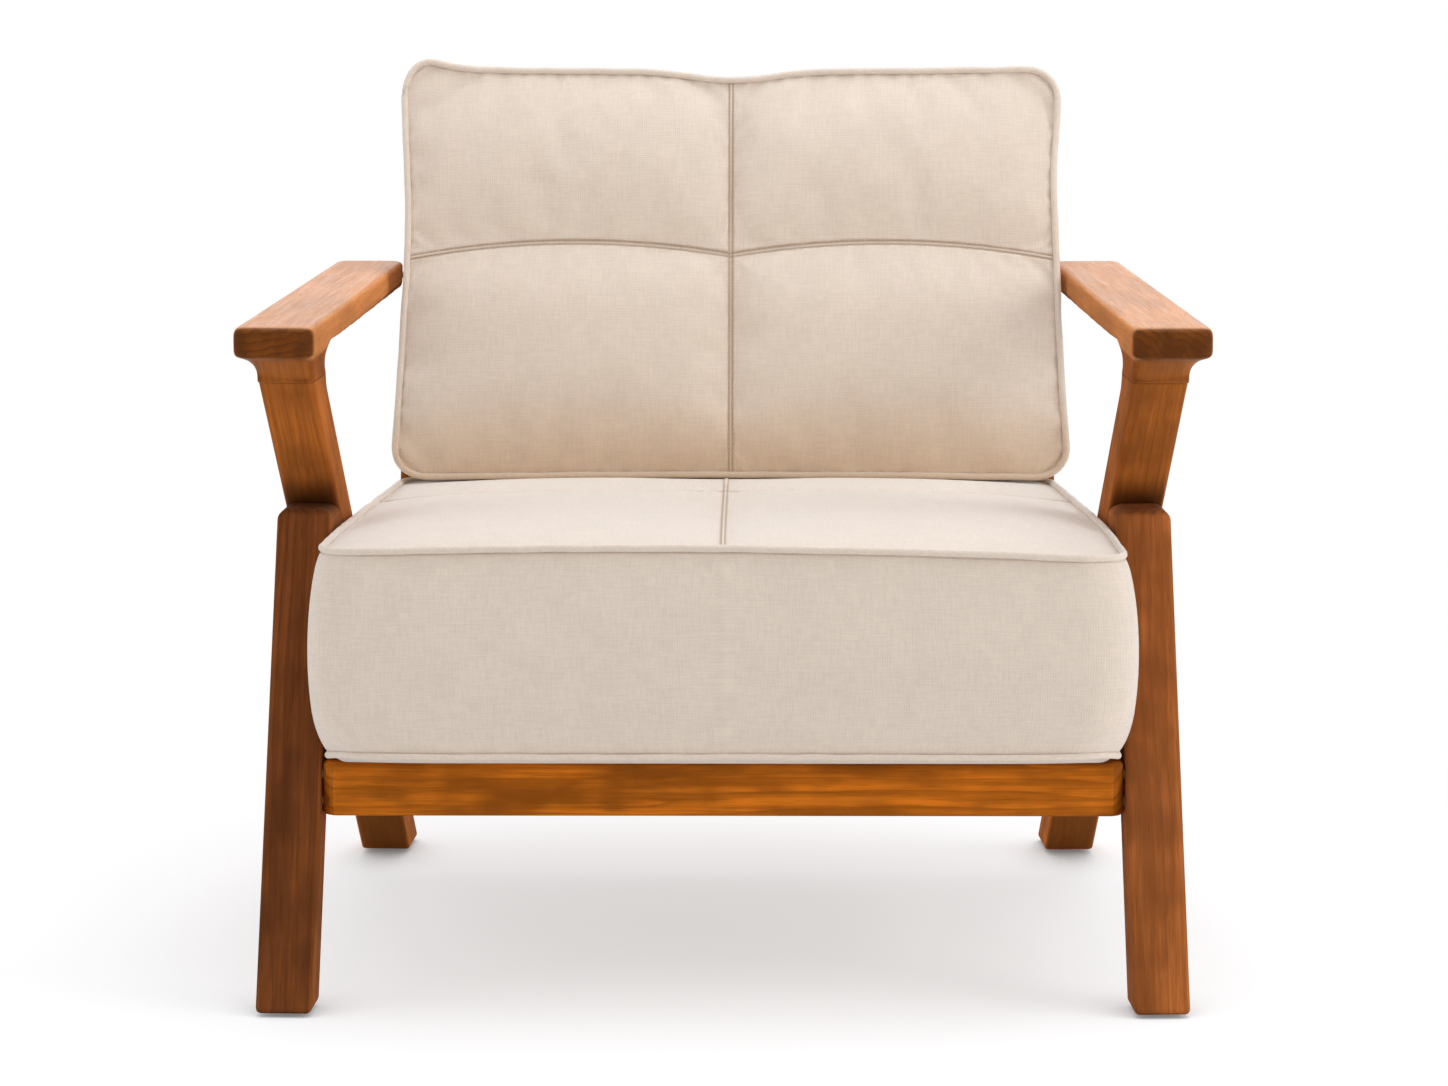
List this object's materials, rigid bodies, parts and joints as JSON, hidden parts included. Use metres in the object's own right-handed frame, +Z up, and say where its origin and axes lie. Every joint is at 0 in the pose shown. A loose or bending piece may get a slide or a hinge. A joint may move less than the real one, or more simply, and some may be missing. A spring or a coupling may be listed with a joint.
{
  "type": "lounge armchair",
  "caption": "Low wooden lounge armchair with slanted side beams, paddle arms, slatted seat and back frames, and loose boxed seat and back cushions with crossed seams.",
  "frame": {"origin": "on the floor, under the middle of the chair's bounding box", "axes": "+Z up, -Y the way the chair faces, +X to the right as seen from the front"},
  "size_m": [0.7592, 0.8003, 0.7061],
  "materials": {
    "frame_wood": "oiled teak, satin",
    "arm_wood": "oiled teak, worn paler, satin",
    "rail_wood": "oiled teak, satin",
    "slat_wood": "oiled teak, matt",
    "beech_dowel": "bare beech",
    "linen_cover": "plain linen weave over wadding",
    "foam_core": "open-cell foam",
    "steel": "zinc plated",
    "nylon": "dark moulded nylon"
  },
  "bodies": {
    "frame": {"back_lower_rail": "rail_wood", "back_lower_rail_dowel_left": "beech_dowel", "back_lower_rail_dowel_right": "beech_dowel", "back_slat_1": "slat_wood", "back_slat_2": "slat_wood", "back_slat_3": "slat_wood", "back_slat_4": "slat_wood", "back_slat_5": "slat_wood", "back_top_rail": "rail_wood", "back_top_rail_dowel_left": "beech_dowel", "back_top_rail_dowel_right": "beech_dowel", "front_rail": "rail_wood", "front_rail_dowel_left_lower": "beech_dowel", "front_rail_dowel_left_upper": "beech_dowel", "front_rail_dowel_right_lower": "beech_dowel", "front_rail_dowel_right_upper": "beech_dowel", "left_arm_bolt": "steel", "left_arm_dowel_front": "beech_dowel", "left_arm_dowel_rear": "beech_dowel", "left_armrest": "arm_wood", "left_back_upright": "frame_wood", "left_beam": "frame_wood", "left_corner_block": "slat_wood", "left_front_glide": "nylon", "left_front_leg": "frame_wood", "left_leg_dowel_inner": "beech_dowel", "left_leg_dowel_outer": "beech_dowel", "left_rear_glide": "nylon", "left_side_rail": "rail_wood", "left_side_rail_bolt": "steel", "left_side_rail_dowel": "beech_dowel", "right_arm_bolt": "steel", "right_arm_dowel_front": "beech_dowel", "right_arm_dowel_rear": "beech_dowel", "right_armrest": "arm_wood", "right_back_upright": "frame_wood", "right_beam": "frame_wood", "right_corner_block": "slat_wood", "right_front_glide": "nylon", "right_front_leg": "frame_wood", "right_leg_dowel_inner": "beech_dowel", "right_leg_dowel_outer": "beech_dowel", "right_rear_glide": "nylon", "right_side_rail": "rail_wood", "right_side_rail_bolt": "steel", "right_side_rail_dowel": "beech_dowel", "seat_slat_1": "slat_wood", "seat_slat_2": "slat_wood", "seat_slat_3": "slat_wood", "seat_slat_4": "slat_wood", "seat_slat_5": "slat_wood", "seat_slat_6": "slat_wood", "seat_slat_7": "slat_wood"},
    "seat_cushion": {"seat_cushion_cover": "linen_cover", "seat_cushion_foam": "foam_core", "seat_cushion_zip": "nylon"},
    "back_cushion": {"back_cushion_cover": "linen_cover", "back_cushion_foam": "foam_core", "back_cushion_zip": "nylon"}
  },
  "joints": [
    {"name": "seat_cushion_out", "type": "slide", "parent": "frame", "child": "seat_cushion", "axis": [0, -0.9994, 0.0349], "range_m": [0, 0.66]},
    {"name": "back_cushion_out", "type": "slide", "parent": "frame", "child": "back_cushion", "axis": [0, -0.7071, 0.7071], "range_m": [0, 0.45]}
  ]
}
